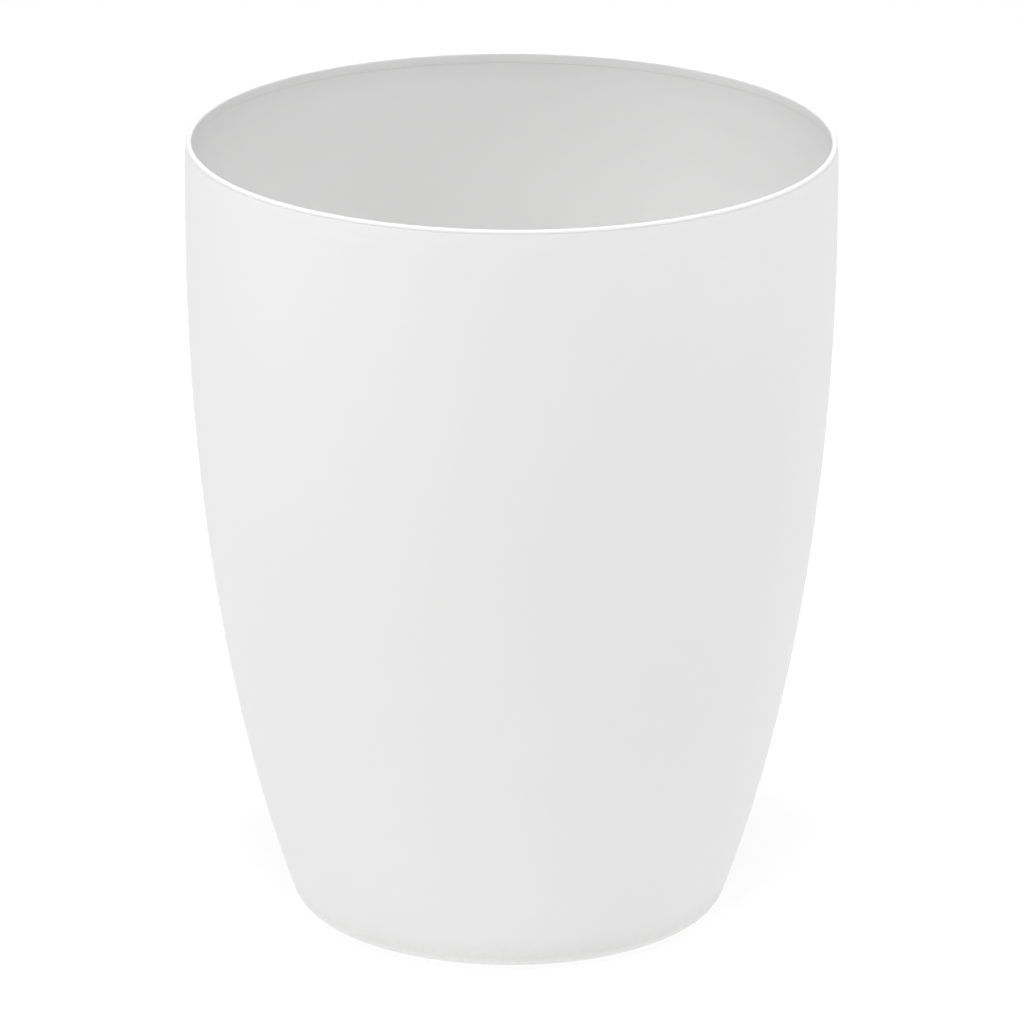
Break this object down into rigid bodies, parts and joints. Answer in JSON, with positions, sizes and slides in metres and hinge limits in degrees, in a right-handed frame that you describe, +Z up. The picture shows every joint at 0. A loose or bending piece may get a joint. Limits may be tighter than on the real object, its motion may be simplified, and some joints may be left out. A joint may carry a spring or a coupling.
{
  "type": "wastebasket",
  "caption": "Round open wastebasket with a bellied, tapering side wall, a lift-off bag ring that covers the top edge, and non-slip pads seated in the hollow base.",
  "frame": {"origin": "centre of the base, on the floor that the pads rest on", "axes": "+Z up along the basket's axis, -Y towards the front, +X to the right; the basket is round, so the front is only a reference"},
  "size_m": [0.25, 0.25, 0.31],
  "materials": {
    "shell_plastic": "smooth satin white moulding",
    "ring_plastic": "smooth satin white moulding, slightly duller than the tub",
    "pad_rubber": "matt grey rubber"
  },
  "bodies": {
    "basket": {"shell": "shell_plastic", "pad_front_left": "pad_rubber", "pad_front_right": "pad_rubber", "pad_back_left": "pad_rubber", "pad_back_right": "pad_rubber"},
    "ring": {"bag_ring": "ring_plastic"}
  },
  "joints": [
    {"name": "ring_lift", "type": "slide", "parent": "basket", "child": "ring", "axis": [0, 0, 1], "range_m": [0, 0.06]}
  ]
}
